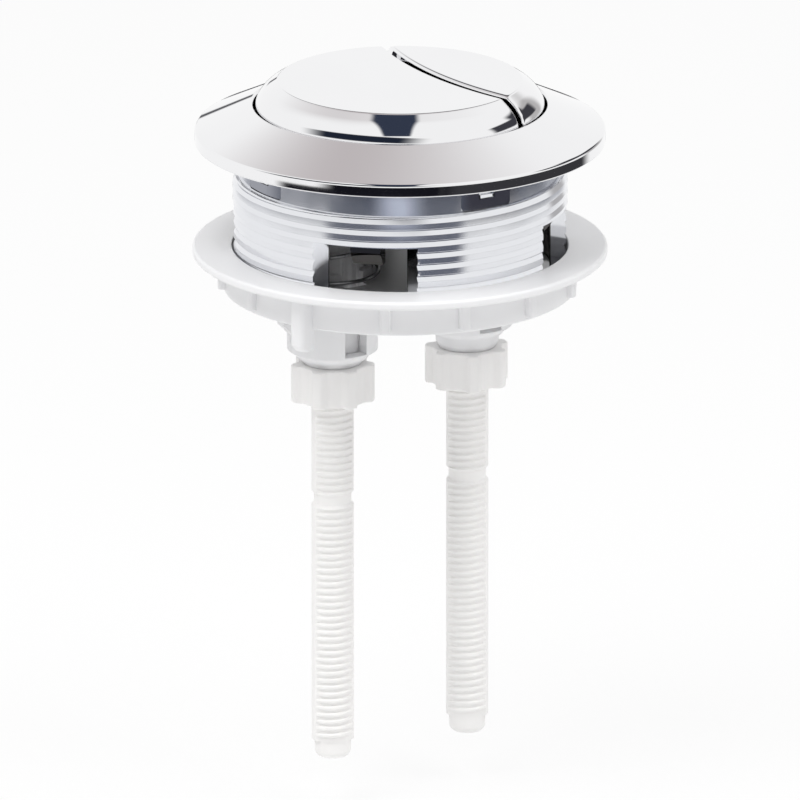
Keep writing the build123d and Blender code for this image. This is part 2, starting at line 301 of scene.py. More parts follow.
def helical_ridge_tree():
    """Screw thread: a soft-crested trapezoid, which may lean, swept up a helix and run out at both ends."""
    tree, size = shape_tree("helical_ridge", {
        "Root Radius": "Float", "Depth": "Float", "Pitch": "Float", "Turns": "Float",
        "Root Width": "Float", "Crest Width": "Float", "Lean": "Float", "Round": "Float", "Bite": "Float",
        "Run Out": "Float", "Start": "Float", "Low": "Float", "Steps": "Int", "Material": "Material",
    })
    rise = calculate(tree, "MULTIPLY", size["Pitch"], size["Turns"])
    helix = place(tree, "GeometryNodeCurveSpiral", {
        "Resolution": size["Steps"], "Rotations": size["Turns"], "Height": rise, "Reverse": True,
        "Start Radius": size["Root Radius"], "End Radius": size["Root Radius"],
    })
    upright = place(tree, "GeometryNodeSetCurveNormal", {"Curve": helix}, mode="Z_UP")
    height = calculate(tree, "ADD", size["Depth"], size["Bite"])
    section = place(tree, "GeometryNodeCurvePrimitiveQuadrilateral", {
        "Height": height, "Bottom Width": size["Root Width"], "Top Width": size["Crest Width"],
        "Offset": size["Lean"],
    }, mode="TRAPEZOID")
    corner = place(tree, "GeometryNodeInputPosition", {})
    across = place(tree, "ShaderNodeSeparateXYZ", {0: corner}).outputs["Y"]
    crest = calculate(tree, "GREATER_THAN", across, 0.0)
    soft = place(tree, "GeometryNodeFilletCurve", {
        "Curve": section, "Count": 4, "Limit Radius": True,
        "Radius": calculate(tree, "MULTIPLY", size["Round"], crest),
    }, mode="POLY")
    middle = calculate(tree, "SUBTRACT", calculate(tree, "DIVIDE", height, 2.0), size["Bite"])
    shift = place(tree, "ShaderNodeCombineXYZ", {"X": middle})
    turned = place(tree, "GeometryNodeTransform", {
        "Geometry": soft, "Rotation": (0, 0, math.radians(-90)), "Translation": shift,
    })
    along = place(tree, "GeometryNodeSplineParameter", {}).outputs["Factor"]
    end = calculate(tree, "MINIMUM", along, calculate(tree, "SUBTRACT", 1.0, along))
    scale = place(tree, "ShaderNodeMapRange", {"Value": end, 2: size["Run Out"], 3: 0.02, 4: 1.0})
    ridge = place(tree, "GeometryNodeCurveToMesh", {
        "Curve": upright, "Profile Curve": turned, "Scale": scale, "Fill Caps": True,
    })
    lift = place(tree, "ShaderNodeCombineXYZ", {"Z": size["Low"]})
    turn = place(tree, "ShaderNodeCombineXYZ", {"Z": size["Start"]})
    placed = place(tree, "GeometryNodeTransform", {"Geometry": ridge, "Translation": lift, "Rotation": turn})
    return close_tree(tree, placed, size["Material"])


def coil_spring_tree():
    """Round wire on a helix, with a dead turn lying flat at each end."""
    tree, size = shape_tree("coil_spring", {
        "Radius": "Float", "Wire": "Float", "Turns": "Float", "Dead Turns": "Float",
        "Low": "Float", "High": "Float", "Start": "Float", "Material": "Material",
    })
    helix = place(tree, "GeometryNodeCurveSpiral", {
        "Resolution": 48, "Rotations": size["Turns"], "Height": 0.0, "Reverse": True,
        "Start Radius": size["Radius"], "End Radius": size["Radius"],
    })
    along = place(tree, "GeometryNodeSplineParameter", {}).outputs["Factor"]
    dead = calculate(tree, "DIVIDE", size["Dead Turns"], size["Turns"])
    upper = calculate(tree, "SUBTRACT", 1.0, dead)
    low = calculate(tree, "ADD", size["Low"], calculate(tree, "DIVIDE", size["Wire"], 2.0))
    high = calculate(tree, "SUBTRACT", size["High"], calculate(tree, "DIVIDE", size["Wire"], 2.0))
    rest = place(tree, "ShaderNodeMapRange", {"Value": along, 1: 0.0, 2: dead, 3: 0.0, 4: size["Wire"]})
    top = place(tree, "ShaderNodeMapRange", {"Value": along, 1: upper, 2: 1.0, 3: 0.0, 4: size["Wire"]})
    open_rise = calculate(tree, "SUBTRACT", calculate(tree, "SUBTRACT", high, low),
                          calculate(tree, "MULTIPLY", size["Wire"], 2.0))
    middle = place(tree, "ShaderNodeMapRange", {"Value": along, 1: dead, 2: upper, 3: 0.0, 4: open_rise})
    height = calculate(tree, "ADD", calculate(tree, "ADD", low, rest), calculate(tree, "ADD", middle, top))
    wound = place(tree, "GeometryNodeSetPosition", {
        "Geometry": helix, "Offset": place(tree, "ShaderNodeCombineXYZ", {"Z": height}),
    })
    section = place(tree, "GeometryNodeCurvePrimitiveCircle", {
        "Resolution": 12, "Radius": calculate(tree, "DIVIDE", size["Wire"], 2.0),
    })
    wire = place(tree, "GeometryNodeCurveToMesh", {
        "Curve": wound, "Profile Curve": section, "Fill Caps": True,
    })
    turn = place(tree, "ShaderNodeCombineXYZ", {"Z": size["Start"]})
    placed = place(tree, "GeometryNodeTransform", {"Geometry": wire, "Rotation": turn})
    return close_tree(tree, placed, size["Material"])


def grip_rib_tree():
    """Upright ribs round a skirt, with a place left free for each lug."""
    tree, size = shape_tree("grip_ribs", {
        "Count": "Int", "Free Every": "Int", "Inner Radius": "Float", "Outer Radius": "Float",
        "Width": "Float", "Round": "Float", "Low": "Float", "High": "Float", "Start": "Float",
        "Material": "Material",
    })
    depth = calculate(tree, "SUBTRACT", size["Outer Radius"], size["Inner Radius"])
    section = place(tree, "GeometryNodeCurvePrimitiveQuadrilateral", {
        "Width": depth, "Height": size["Width"],
    })
    soft = place(tree, "GeometryNodeFilletCurve", {
        "Curve": section, "Count": 4, "Radius": size["Round"], "Limit Radius": True,
    }, mode="POLY")
    line = place(tree, "GeometryNodeCurvePrimitiveLine", {
        "Start": place(tree, "ShaderNodeCombineXYZ", {"Z": size["Low"]}),
        "End": place(tree, "ShaderNodeCombineXYZ", {"Z": size["High"]}),
    })
    rib = place(tree, "GeometryNodeCurveToMesh", {"Curve": line, "Profile Curve": soft, "Fill Caps": True})
    both = calculate(tree, "ADD", size["Inner Radius"], size["Outer Radius"])
    middle = calculate(tree, "DIVIDE", both, 2.0)
    ring = place(tree, "GeometryNodeMeshCircle", {"Vertices": size["Count"], "Radius": middle})
    index = place(tree, "GeometryNodeInputIndex", {})
    used = calculate(tree, "MODULO", index, size["Free Every"])
    step = calculate(tree, "DIVIDE", 2 * math.pi, size["Count"])
    turn = place(tree, "ShaderNodeCombineXYZ", {"Z": calculate(tree, "MULTIPLY", index, step)})
    ribs = place(tree, "GeometryNodeInstanceOnPoints", {
        "Points": ring, "Instance": rib, "Selection": used, "Rotation": turn,
    })
    start = place(tree, "ShaderNodeCombineXYZ", {"Z": size["Start"]})
    placed = place(tree, "GeometryNodeTransform", {"Geometry": ribs, "Rotation": start})
    return close_tree(tree, placed, size["Material"])


# Mesh building

def steps_between(low, high, count):
    return [low + (high - low) * step / count for step in range(count + 1)]


def rounded(corners, steps=6):
    """Closed outline of (radius, height, rounding) corners, with each rounding drawn as an arc."""
    points = []
    for index, (x, z, rounding) in enumerate(corners):
        corner = Vector((x, z))
        if not rounding:
            points.append(corner)
            continue
        before = (Vector(corners[index - 1][:2]) - corner).normalized()
        after = (Vector(corners[(index + 1) % len(corners)][:2]) - corner).normalized()
        half = before.angle(after) / 2
        centre = corner + (before + after).normalized() * rounding / math.sin(half)
        start = corner + before * rounding / math.tan(half) - centre
        end = corner + after * rounding / math.tan(half) - centre
        for step in range(steps + 1):
            points.append(centre + start.lerp(end, step / steps).normalized() * rounding)
    return points


def joined(*meshes):
    """One mesh from several."""
    build = bmesh.new()
    for mesh in meshes:
        build.from_mesh(mesh)
    return finished(build, meshes[0].name)


def lathe(outline, segments=192, x=0.0):
    """Mesh turned about an upright axis at x from a closed outline of (radius, height) points."""
    build = bmesh.new()
    verts = [build.verts.new((radius, 0, height)) for radius, height in outline]
    edges = [build.edges.new((verts[index - 1], verts[index])) for index in range(len(verts))]
    bmesh.ops.spin(
        build, geom=verts + edges, axis=(0, 0, 1), cent=(0, 0, 0), steps=segments,
        angle=2 * math.pi, use_merge=True,
    )
    bmesh.ops.remove_doubles(build, verts=build.verts, dist=1e-5)
    bmesh.ops.dissolve_degenerate(build, edges=build.edges, dist=1e-5)
    bmesh.ops.recalc_face_normals(build, faces=build.faces)
    bmesh.ops.translate(build, verts=build.verts, vec=(x, 0, 0))
    return finished(build, "lathe")


def loft(levels, ring=False):
    """Mesh through levels of equally many points; a ring closes on itself, otherwise the ends are capped."""
    build = bmesh.new()
    rows = [[build.verts.new(point) for point in level] for level in levels]
    count = len(rows[0])
    pairs = list(zip(rows, rows[1:]))
    if ring:
        pairs.append((rows[-1], rows[0]))
    for lower, upper in pairs:
        for index in range(count):
            build.faces.new((lower[index - 1], lower[index], upper[index], upper[index - 1]))
    if not ring:
        build.faces.new(list(reversed(rows[0])))
        build.faces.new(rows[-1])
    bmesh.ops.recalc_face_normals(build, faces=build.faces)
    return finished(build, "loft")


def finished(build, name):
    mesh = bpy.data.meshes.new(name)
    build.to_mesh(mesh)
    build.free()
    return mesh


def turned_copies(mesh, turns):
    """One mesh of copies turned about the sleeve's axis."""
    copies = []
    for turn in turns:
        copy = mesh.copy()
        copy.transform(Matrix.Rotation(math.radians(turn), 4, "Z"))
        copies.append(copy)
    return joined(*copies)


def carved(base, *changes):
    """Base mesh after unions and differences with other closed meshes, each given as (operation, mesh)."""
    holder = bpy.data.objects.new("carved", base)
    bpy.context.collection.objects.link(holder)
    tools = []
    for operation, mesh in changes:
        tool = bpy.data.objects.new(operation.lower(), mesh)
        bpy.context.collection.objects.link(tool)
        modifier = holder.modifiers.new(operation.lower(), "BOOLEAN")
        modifier.operation = operation
        modifier.solver = "MANIFOLD"
        modifier.object = tool
        tools.append(tool)
    mesh = settled_mesh(holder)
    for tool in tools:
        bpy.data.objects.remove(tool)
    return mesh


def arc_block(inner, outer, width, low, high, lower_corner=0.0, columns=24):
    """Closed plate on a cylinder across +X, with rounded lower corners."""
    levels = []
    for column in range(columns + 1):
        # columns crowd towards both sides, where the corners are
        across = -math.cos(math.pi * column / columns) * width / 2
        past = max(0.0, abs(across) - (width / 2 - lower_corner))
        rise = lower_corner - math.sqrt(max(0.0, lower_corner**2 - past**2))
        levels.append([
            (radius * math.cos(across / outer), radius * math.sin(across / outer), z)
            for radius, z in ((inner, low + rise), (outer, low + rise), (outer, high), (inner, high))
        ])
    return loft(levels)


def prism(outline, width):
    """Closed plate of an (x, z) outline, as thick as width across Y."""
    return loft([[(x, side * width / 2, z) for x, z in outline] for side in (-1, 1)])


def piece(name, mesh, material, body, nodes, smooth=32):
    """Finished object of the scene: in metres, smooth, riding on its body in place of its CAD nodes."""
    mesh.name = name
    mesh.transform(Matrix.Scale(MM, 4))
    mesh.materials.clear()
    mesh.materials.append(material)
    mesh.shade_smooth()
    obj = bpy.data.objects.new(name, mesh)
    bpy.context.collection.objects.link(obj)
    mesh.set_sharp_from_angle(angle=math.radians(smooth))
    level = obj.modifiers.new("level_normals", "WEIGHTED_NORMAL")
    level.keep_sharp = True
    level.weight = NORMAL_WEIGHT
    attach(obj, body)
    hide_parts(*nodes)
    return obj


def cad_copy(node):
    """Merged copy of a CAD node's mesh, in millimetres, with its flat faces made whole."""
    build = bmesh.new()
    build.from_mesh(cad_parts[node].data)
    bmesh.ops.remove_doubles(build, verts=build.verts, dist=1e-7)
    bmesh.ops.dissolve_limit(build, angle_limit=math.radians(0.5), verts=build.verts, edges=build.edges)
    mesh = finished(build, node)
    mesh.transform(Matrix.Scale(1 / MM, 4))
    return mesh


# Materials

def surface(name, colour, metallic, roughness):
    """Principled material; returns it with its tree, shader and Object coordinates."""
    material = bpy.data.materials.new(name)
    material.use_nodes = True
    tree = material.node_tree
    shader = tree.nodes["Principled BSDF"]
    shader.inputs["Base Color"].default_value = (*colour, 1)
    shader.inputs["Metallic"].default_value = metallic
    shader.inputs["Roughness"].default_value = roughness
    coords = place(tree, "ShaderNodeTexCoord", {}).outputs["Object"]
    return material, tree, shader, coords


def noise(tree, coords, grain, detail=2.0):
    """Noise whose features are about as large as grain, in millimetres."""
    return place(tree, "ShaderNodeTexNoise", {"Vector": coords, "Scale": 1 / (grain * MM), "Detail": detail})


def outside_bore(tree, coords):
    """1 outside the sleeve's bore, 0 on its inner wall, where the chrome gets painted shade."""
    across = place(tree, "ShaderNodeVectorMath", {0: coords, 1: (1, 1, 0)}, operation="MULTIPLY")
    radius = place(tree, "ShaderNodeVectorMath", {0: across.outputs[0]}, operation="LENGTH").outputs["Value"]
    edge = thread_r - SLEEVE_WALL + INSIDE_SHADE_EDGE
    return place(tree, "ShaderNodeMapRange", {"Value": radius, 1: edge * MM, 2: (edge + INSIDE_SHADE_EDGE) * MM})


def above_neck(tree, coords):
    """1 above the lower end of the sleeve's neck, 0 on what hangs inside the sleeve, where the chrome gets
    painted shade.
    """
    height = place(tree, "ShaderNodeSeparateXYZ", {0: coords}).outputs["Z"]
    foot = -NECK_LENGTH
    return place(tree, "ShaderNodeMapRange", {"Value": height, 1: (foot - 1) * MM, 2: foot * MM})


def chrome_plating(name, colour, roughness, waviness, unshaded):
    """Bright plating on moulded plastic, with painted shade where it lies inside the sleeve: faint clouds and
    waves in its reflections.
    """
    material, tree, shader, coords = surface(name, colour, 1.0, roughness)
    cloud = noise(tree, coords, 9.0)
    shine = place(tree, "ShaderNodeMapRange", {
        "Value": cloud, 1: 0.3, 2: 0.7, 3: roughness * 0.8, 4: roughness * 1.25,
    })
    tree.links.new(shine.outputs[0], shader.inputs["Roughness"])
    tint = place(tree, "ShaderNodeMix", {0: noise(tree, coords, 14.0)}, data_type="RGBA")
    tint.inputs[6].default_value = (*[level * 0.97 for level in colour], 1)
    tint.inputs[7].default_value = (*colour, 1)
    # painted shade: the chrome turns dark grey where the mask says it lies inside the sleeve
    shaded_inside = place(tree, "ShaderNodeMix", {0: unshaded(tree, coords)}, data_type="RGBA")
    shaded_inside.inputs[6].default_value = (*INSIDE_SHADE_COLOUR, 1)
    tree.links.new(tint.outputs[2], shaded_inside.inputs[7])
    tree.links.new(shaded_inside.outputs[2], shader.inputs["Base Color"])
    swell = noise(tree, coords, 4.0, 1.0)
    bump = place(tree, "ShaderNodeBump", {"Strength": waviness, "Distance": 0.02 * MM, "Height": swell})
    tree.links.new(bump.outputs[0], shader.inputs["Normal"])
    return material


def moulded_plastic(name, colour, roughness):
    """White moulded plastic: faint flow marks in its colour and gloss, and a fine satin grain."""
    material, tree, shader, coords = surface(name, colour, 0.0, roughness)
    flow = noise(tree, coords, 12.0, 3.0)
    tint = place(tree, "ShaderNodeMix", {0: flow}, data_type="RGBA")
    tint.inputs[6].default_value = (*[level * 0.965 for level in colour], 1)
    tint.inputs[7].default_value = (*[min(1.0, level * 1.015) for level in colour], 1)
    tree.links.new(tint.outputs[2], shader.inputs["Base Color"])
    gloss = place(tree, "ShaderNodeMapRange", {
        "Value": flow, 1: 0.3, 2: 0.7, 3: roughness * 0.85, 4: roughness * 1.15,
    })
    tree.links.new(gloss.outputs[0], shader.inputs["Roughness"])
    grain = noise(tree, coords, 0.25)
    bump = place(tree, "ShaderNodeBump", {"Strength": 0.12, "Distance": 0.02 * MM, "Height": grain})
    tree.links.new(bump.outputs[0], shader.inputs["Normal"])
    return material


def drawn_wire(name, colour, roughness):
    """Steel wire with fine drawing marks."""
    material, tree, shader, coords = surface(name, colour, 1.0, roughness)
    marks = noise(tree, coords, 0.3, 4.0)
    shine = place(tree, "ShaderNodeMapRange", {
        "Value": marks, 1: 0.25, 2: 0.75, 3: roughness * 0.7, 4: roughness * 1.4,
    })
    tree.links.new(shine.outputs[0], shader.inputs["Roughness"])
    tint = place(tree, "ShaderNodeMix", {0: marks}, data_type="RGBA")
    tint.inputs[6].default_value = (*[level * 0.75 for level in colour], 1)
    tint.inputs[7].default_value = (*colour, 1)
    tree.links.new(tint.outputs[2], shader.inputs["Base Color"])
    return material


# both chromes are painted dark inside the sleeve as shade: on the bore's wall and on the button parts that
# hang below the neck
bright_chrome = chrome_plating("bright_chrome", (0.88, 0.88, 0.89), 0.035, 0.05, above_neck)
sleeve_chrome = chrome_plating("sleeve_chrome", (0.8, 0.81, 0.84), 0.12, 0.08, outside_bore)
white_plastic = moulded_plastic("white_plastic", (0.86, 0.86, 0.87), 0.38)
rod_plastic = moulded_plastic("rod_plastic", (0.92, 0.91, 0.9), 0.45)
spring_steel = drawn_wire("spring_steel", (0.42, 0.42, 0.43), 0.32)


# Bezel ring

hole_r = button_r + HOLE_GAP
bezel_slope = (BEZEL_HEIGHT - RIM_HEIGHT) / (rim_r - hole_r)
neck_r = thread_r - NECK_STEP


def bezel_face(radius):
    return BEZEL_HEIGHT - bezel_slope * (radius - hole_r)


def tongue_block(grow, top):
    """Snap tongue that hangs over the sleeve's neck, or the pocket round it."""
    return arc_block(
        neck_r - TONGUE_WALL - grow, neck_r + 5 * grow, TONGUE_WIDTH + 2 * grow,
        -TONGUE_LENGTH - grow, top, TONGUE_CORNER,
    )


def catch_slot():
    """Slot in the middle of a tongue, across +X."""
    half = CATCH_HEIGHT / 2
    return arc_block(neck_r - 2, neck_r + 2, CATCH_WIDTH, -CATCH_DEPTH - half, -CATCH_DEPTH + half)


def catch_nub():
    """Nub on the sleeve in a tongue's slot, with a face that leans back."""
    inner = neck_r - NECK_WALL / 2 - TONGUE_WALL / 2
    face = neck_r - FIT
    low = -CATCH_DEPTH - CATCH_HEIGHT / 2 + FIT
    high = low + NUB_HEIGHT
    outline = [(inner, low), (face, low), (face - NUB_LEAN, high), (inner, high)]
    return prism(outline, CATCH_WIDTH - 2 * NUB_MARGIN)


def bezel_ring():
    skirt_r = hole_r + SKIRT_WALL
    seat_r = rim_r - SEAT_WIDTH
    ring = lathe(rounded([
        (hole_r, -SKIRT_DEPTH, 0.3),
        (skirt_r, -SKIRT_DEPTH, 0.3),
        (skirt_r, bezel_face(skirt_r) - BEZEL_WALL, 0.3),
        (seat_r, bezel_face(seat_r) - BEZEL_WALL, 0.3),
        (seat_r, 0, 0.15),
        (rim_r, 0, 0.25),
        (rim_r, RIM_HEIGHT, RIM_ROUND),
        (hole_r, BEZEL_HEIGHT, BEZEL_EDGE),
    ]), segments=288)
    root = bezel_face(neck_r) - BEZEL_WALL / 2
    tongue = carved(tongue_block(0.0, root), ("DIFFERENCE", catch_slot()))
    mesh = joined(ring, turned_copies(tongue, TONGUE_TURNS))
    piece("bezel_ring_shell", mesh, bright_chrome, "housing", ["bezel_ring"])


# Threaded sleeve

def window_cutter():
    """Window with sides that flare outwards at 45 degrees, across +X."""
    half = WINDOW_WIDTH / 2
    mouth = math.sqrt(thread_r**2 - half**2)
    near = thread_r - 2 * SLEEVE_WALL
    far = thread_r + SLEEVE_WALL
    flare = half - mouth
    outline = [(near, flare + near), (far, flare + far), (far, -flare - far), (near, -flare - near)]
    return loft([[(x, y, z) for x, y in outline] for z in (WINDOW_BOTTOM, WINDOW_TOP)])


def threaded_sleeve():
    inner_r = thread_r - SLEEVE_WALL
    root_r = thread_r - THREAD_DEPTH
    step = -SKIRT_DEPTH - FIT
    lip_top = sleeve_bottom + LIP_HEIGHT
    wall = lathe(rounded([
        (neck_r - NECK_WALL, neck_top, 0.2),
        (neck_r - NECK_WALL, step, 0.1),
        (inner_r, step, 0.1),
        (inner_r, lip_top, 0.1),
        (inner_r - LIP_WIDTH, lip_top, 0.15),
        (inner_r - LIP_WIDTH, sleeve_bottom, 0.15),
        (root_r, sleeve_bottom, 0.3),
        (root_r, -NECK_LENGTH, 0.1),
        (neck_r, -NECK_LENGTH, 0.1),
        (neck_r, neck_top, 0.2),
    ], steps=3), segments=256)
    thread = grown(helical_ridge_tree(), {
        "Root Radius": root_r, "Depth": THREAD_DEPTH, "Pitch": THREAD_PITCH, "Turns": THREAD_TURNS,
        "Root Width": THREAD_ROOT, "Crest Width": THREAD_CREST, "Lean": THREAD_LEAN, "Round": THREAD_ROUND,
        "Bite": THREAD_BITE, "Run Out": THREAD_RUN_OUT, "Start": math.radians(THREAD_START),
        "Low": THREAD_LOW, "Steps": THREAD_STEPS, "Material": sleeve_chrome,
    })
    pocket = tongue_block(TONGUE_GAP, neck_top + 1)
    mesh = carved(
        wall,
        ("UNION", thread),
        ("DIFFERENCE", turned_copies(window_cutter(), WINDOW_TURNS)),
        ("DIFFERENCE", turned_copies(pocket, TONGUE_TURNS)),
        ("UNION", turned_copies(catch_nub(), TONGUE_TURNS)),
    )
    piece(
        "sleeve_thread", mesh, sleeve_chrome, "housing", ["threaded_sleeve"], smooth=20,
    )


# Buttons

def button_outline(side, radius, inset, z, corner, rim_points=128, parting_points=48, corner_points=8):
    """Closed outline of one button at a height: its rim, its curved parting edge and two soft corners."""
    centre = SPLIT_OFFSET + SPLIT_RADIUS
    grow = -BUTTON_GAP / 2 - inset if side == "half_flush" else BUTTON_GAP / 2 + inset
    parting_r = SPLIT_RADIUS + grow
    meet_x = (radius**2 + centre**2 - parting_r**2) / (2 * centre)
    meet_y = math.sqrt(radius**2 - meet_x**2)
    rim_turn = math.atan2(meet_y, meet_x)
    parting_turn = math.atan2(meet_y, centre - meet_x)
    if side == "half_flush":
        first, last, swing = -rim_turn, rim_turn, 1
    else:
        first, last, swing = rim_turn, 2 * math.pi - rim_turn, -1
    trim = corner / radius

    def rim(share):
        angle = first + trim + (last - first - 2 * trim) * share
        return Vector((radius * math.cos(angle), radius * math.sin(angle), z))

    def parting(share):
        angle = swing * (parting_turn - corner / parting_r) * (1 - 2 * share)
        return Vector((centre - parting_r * math.cos(angle), parting_r * math.sin(angle), z))

    def bend(start, tip, end):
        for step in range(1, corner_points):
            share = step / corner_points
            yield start.lerp(tip, share).lerp(tip.lerp(end, share), share)

    points = [rim(step / (rim_points - 1)) for step in range(rim_points)]
    points += bend(rim(1), Vector((meet_x, swing * meet_y, z)), parting(0))
    points += [parting(step / (parting_points - 1)) for step in range(parting_points)]
    points += bend(parting(1), Vector((meet_x, -swing * meet_y, z)), rim(0))
    return points


def button_hollow(side, wall):
    """Levels of the space inside a button, from its open foot up to its ceiling."""
    return [
        button_outline(side, button_r - inset, wall, z, 0.2)
        for inset, z in (
            (wall, BUTTON_SKIRT),
            (wall, BUTTON_SHOULDER - wall / 3),
            (BEVEL_KNEE + 0.75 * wall, button_top - BEVEL_KNEE_DROP - 0.75 * wall),
            (BUTTON_BEVEL + wall / 2, button_top - wall),
        )
    ]


def button_shell(side):
    """Hollow button with a convex bevel and softly rounded edges."""
    edge_width, edge_drop = PARTING_EDGE[side]
    profile = rounded([
        (0, BUTTON_SKIRT, 0),
        (button_r, BUTTON_SKIRT, 0),
        (button_r, BUTTON_SHOULDER, SHOULDER_ROUND),
        (button_r - BEVEL_KNEE, button_top - BEVEL_KNEE_DROP, KNEE_ROUND),
        (button_r - BUTTON_BEVEL, button_top, BUTTON_EDGE),
        (0, button_top, 0),
    ], steps=12)[1:-1]
    crown = button_top - edge_drop
    heights = {round(point.y, 3) for point in profile}
    heights |= {round(crown + edge_drop * math.sin(math.pi / 2 * step / 14), 3) for step in range(15)}

    def rim_at(z):
        for lower, upper in zip(profile, profile[1:]):
            if lower.y <= z <= upper.y + 1e-9 and upper.y > lower.y:
                return lower.x + (upper.x - lower.x) * (z - lower.y) / (upper.y - lower.y)
        return profile[-1].x

    def inset_at(z):
        over = max(0.0, z - crown) / edge_drop
        return edge_width * (1 - math.sqrt(max(0.0, 1 - over**2)))

    outside = [button_outline(side, rim_at(z), inset_at(z), z, PARTING_CORNER) for z in sorted(heights)]
    inside = button_hollow(side, BUTTON_WALL)
    return loft(inside[::-1] + outside)


def button_ribs(side, rod_x):
    """Two crossed ribs under the button's ceiling, trimmed to the space inside."""
    ceiling = button_top - BUTTON_WALL
    ribs = []
    for length, width in ((2 * thread_r, RIB_WALL), (RIB_WALL, 2 * thread_r)):
        rib = loft([
            [(rod_x + x * length / 2, y * width / 2, z) for x, y in ((-1, -1), (1, -1), (1, 1), (-1, 1))]
            for z in (ceiling - RIB_DEPTH, ceiling + 0.1)
        ])
        ribs.append(carved(rib, ("INTERSECT", loft(button_hollow(side, BUTTON_WALL - 0.2)))))
    return joined(*ribs)


def hook():
    """Leg with a wedge nose that catches in a window, across +X."""
    top = WINDOW_TOP - FIT
    bottom = top - HOOK_NOSE
    inner = button_r - HOOK_WALL
    return prism([
        (inner, bottom),
        (button_r, bottom),
        (button_r + HOOK_REACH, top - HOOK_NOSE / 3),
        (button_r + HOOK_REACH, top),
        (button_r, top),
        (button_r, BUTTON_SKIRT + BUTTON_WALL),
        (inner, BUTTON_SKIRT + BUTTON_WALL),
    ], HOOK_WIDTH)


def flush_button(side, rod_x, hook_turns):
    ceiling = button_top - BUTTON_WALL / 2
    boss = lathe(rounded([
        (BOSS_BORE, BOSS_LOW, 0.2), (BOSS_R, BOSS_LOW, 0.3), (BOSS_R, ceiling, 0), (BOSS_BORE, ceiling, 0),
    ], steps=3), segments=64, x=rod_x)
    hooks = turned_copies(hook(), hook_turns)
    mesh = joined(button_shell(side), button_ribs(side, rod_x), boss, hooks)
    piece(
        f"{side}_button_shell", mesh, bright_chrome, side, [f"{side}_button"], smooth=35,
    )


# Flange nut

def flange_nut():
    bore_r = thread_r + NUT_BORE_GAP
    skirt_r = bore_r + NUT_WALL
    underside = nut_top - FLANGE_THICKNESS
    body = lathe(rounded([
        (bore_r, NUT_BOTTOM, 0.3),
        (skirt_r, NUT_BOTTOM, 0.4),
        (skirt_r, underside, 0.5),
        (flange_r, underside, 0.45),
        (flange_r, nut_top, 0.55),
        (bore_r, nut_top, 0.25),
    ]), segments=256)
    ribs = grown(grip_rib_tree(), {
        "Count": RIB_COUNT, "Free Every": RIB_COUNT // 2, "Inner Radius": bore_r + NUT_WALL / 2,
        "Outer Radius": skirt_r + RIB_HEIGHT, "Width": RIB_WIDTH, "Round": RIB_ROUND,
        "Low": NUT_BOTTOM + RIB_FOOT, "High": underside + FLANGE_THICKNESS / 2,
        "Start": math.radians(RIB_TURN), "Material": white_plastic,
    })
    face = skirt_r + LUG_HEIGHT
    lug = loft([
        [(x, y, z) for x, y in rounded([
            (bore_r + NUT_WALL / 2, -LUG_WIDTH / 2, 0.3), (reach, -LUG_WIDTH / 2, 0.9),
            (reach, LUG_WIDTH / 2, 0.9), (bore_r + NUT_WALL / 2, LUG_WIDTH / 2, 0.3),
        ])]
        for reach, z in (
            (face - LUG_CHAMFER, lug_bottom), (face, lug_bottom + LUG_CHAMFER),
            (face, underside + FLANGE_THICKNESS / 2),
        )
    ])
    mesh = joined(body, ribs, turned_copies(lug, (LUG_TURN, LUG_TURN + 180)))
    piece("flange_nut_body", mesh, white_plastic, "flange_nut", ["flange_nut"])


# Rods, lock nuts and springs

def strip_pair(radius, low, high, turn):
    """Two smooth strips along a rod, on opposite sides, each a closed wedge with sloping flanks."""
    half = math.radians(ROD_STRIP / 2)
    foot = half + math.radians(ROD_STRIP_FLANK)
    foot_r = radius - ROD_DEPTH
    sector = [(ROD_STRIP_TIP, 0.0), (foot_r * math.cos(foot), -foot_r * math.sin(foot))]
    for angle in steps_between(-half, half, 12):
        sector.append((radius * math.cos(angle), radius * math.sin(angle)))
    sector.append((foot_r * math.cos(foot), foot_r * math.sin(foot)))
    wedge = loft([[(x, y, z) for x, y in sector] for z in (low, high)])
    return turned_copies(wedge, (turn, turn + 180))


def push_rod(side):
    node = f"{side}_rod"
    low, high = span(node)
    rod_r = (high.x - low.x) / 2
    core_r = rod_r - ROD_DEPTH
    thread_low = low.z + ROD_TIP_LENGTH
    core = lathe(rounded([
        (0, low.z, 0), (ROD_TIP_R, low.z, ROD_TIP_ROUND), (ROD_TIP_R, thread_low, 0),
        (core_r, thread_low, 0), (core_r, high.z, 0.3), (0, high.z, 0),
    ]), segments=64)
    turns = (high.z - thread_low) / ROD_PITCH - ROD_TURNS_SHORT
    thread = grown(helical_ridge_tree(), {
        "Root Radius": core_r, "Depth": ROD_DEPTH, "Pitch": ROD_PITCH, "Turns": turns,
        "Root Width": ROD_ROOT, "Crest Width": ROD_CREST, "Lean": 0.0, "Round": ROD_ROUND, "Bite": ROD_BITE,
        "Run Out": ROD_RUN_OUT, "Start": 0.0, "Low": thread_low + ROD_THREAD_LIFT, "Steps": ROD_STEPS,
        "Material": rod_plastic,
    })
    half = BREAK_WIDTH / 2
    outer = rod_r + BREAK_SLOPE
    groove = lathe([
        Vector((BREAK_R, BREAK_Z - half)),
        Vector((outer, BREAK_Z - half - 2 * BREAK_SLOPE)),
        Vector((outer, BREAK_Z + half + 2 * BREAK_SLOPE)),
        Vector((BREAK_R, BREAK_Z + half)),
    ], segments=64)
    mesh = carved(
        core,
        ("UNION", thread),
        ("UNION", strip_pair(rod_r, thread_low, high.z - ROD_STRIP_SHORT, ROD_STRIP_TURN[side])),
        ("DIFFERENCE", groove),
    )
    mesh.transform(Matrix.Translation((middle_x(node), 0, 0)))
    piece(f"{side}_rod_thread", mesh, rod_plastic, side, [node])


